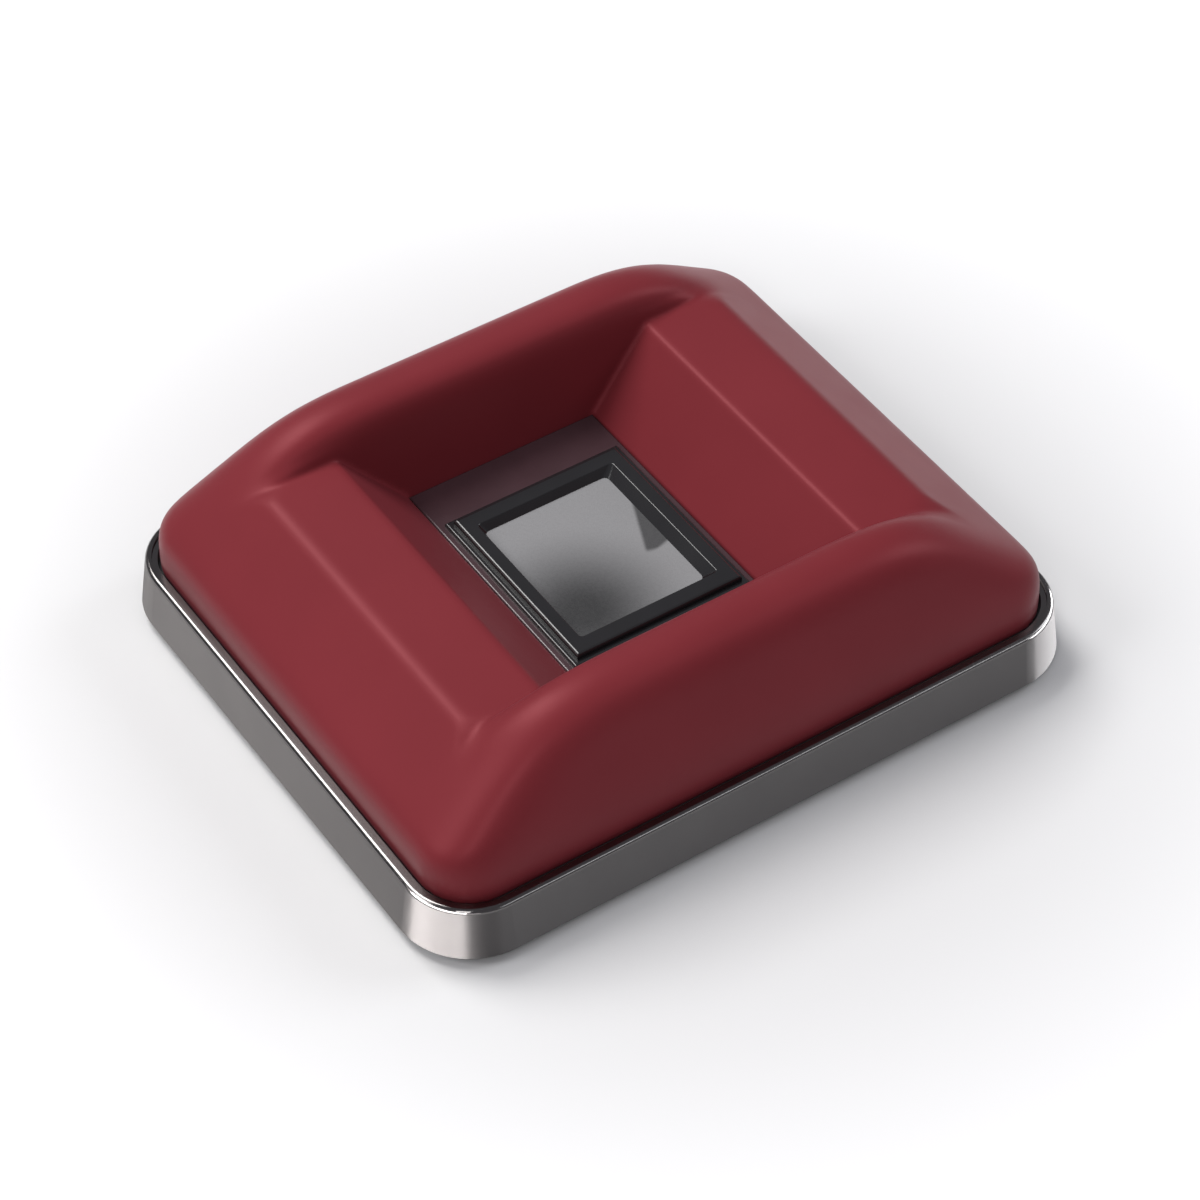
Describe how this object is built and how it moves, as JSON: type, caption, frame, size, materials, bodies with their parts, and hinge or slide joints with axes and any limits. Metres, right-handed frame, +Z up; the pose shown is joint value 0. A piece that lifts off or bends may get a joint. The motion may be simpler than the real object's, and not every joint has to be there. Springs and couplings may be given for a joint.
{
  "type": "fingerprint scanner terminal",
  "caption": "Low desktop fingerprint reader: soft red hipped cover with a finger channel and a recessed glass window, ringed by a dark metal band.",
  "frame": {"origin": "centre of the footprint, on the surface the rubber feet stand on", "axes": "+Z up, Y along the finger channel with the user at -Y and the USB socket at +Y, X across the channel"},
  "size_m": [0.064, 0.0766, 0.0215],
  "materials": {
    "soft_red": "soft-touch matt",
    "gunmetal": "dark chrome plated, polished",
    "black_gloss": "semi-gloss moulded",
    "black_matt": "fine textured",
    "black_rubber": "matt",
    "clear_glass": "polished, coated",
    "steel": "zinc plated",
    "circuit_board": "solder mask",
    "chip_black": "moulded",
    "milky_plastic": "translucent",
    "label_silver": "printed film, blank",
    "cable_white": "film"
  },
  "bodies": {
    "root": {"top_cover": "soft_red", "metal_band": "gunmetal", "cover_gasket": "black_rubber", "base_tray": "black_matt", "ballast_bars": "steel", "rating_label": "label_silver", "rubber_feet": "black_rubber", "case_screws": "steel", "bezel_tray": "black_gloss", "window_frame": "black_gloss", "platen_glass": "clear_glass", "window_seal": "black_rubber", "prism": "clear_glass", "optical_chassis": "black_matt", "chassis_screws": "steel", "lens_barrel": "black_matt", "lens": "clear_glass", "sensor_board": "circuit_board", "image_sensor": "chip_black", "sensor_board_screws": "steel", "led_board": "circuit_board", "led_emitters": "milky_plastic", "diffuser": "milky_plastic", "main_board": "circuit_board", "board_screws": "steel", "processor": "chip_black", "memory_chip": "chip_black", "crystal": "steel", "board_capacitors": "chip_black", "cable_connectors": "black_matt", "flat_cable": "cable_white", "usb_shell": "steel", "usb_tongue": "black_matt"}
  },
  "joints": []
}
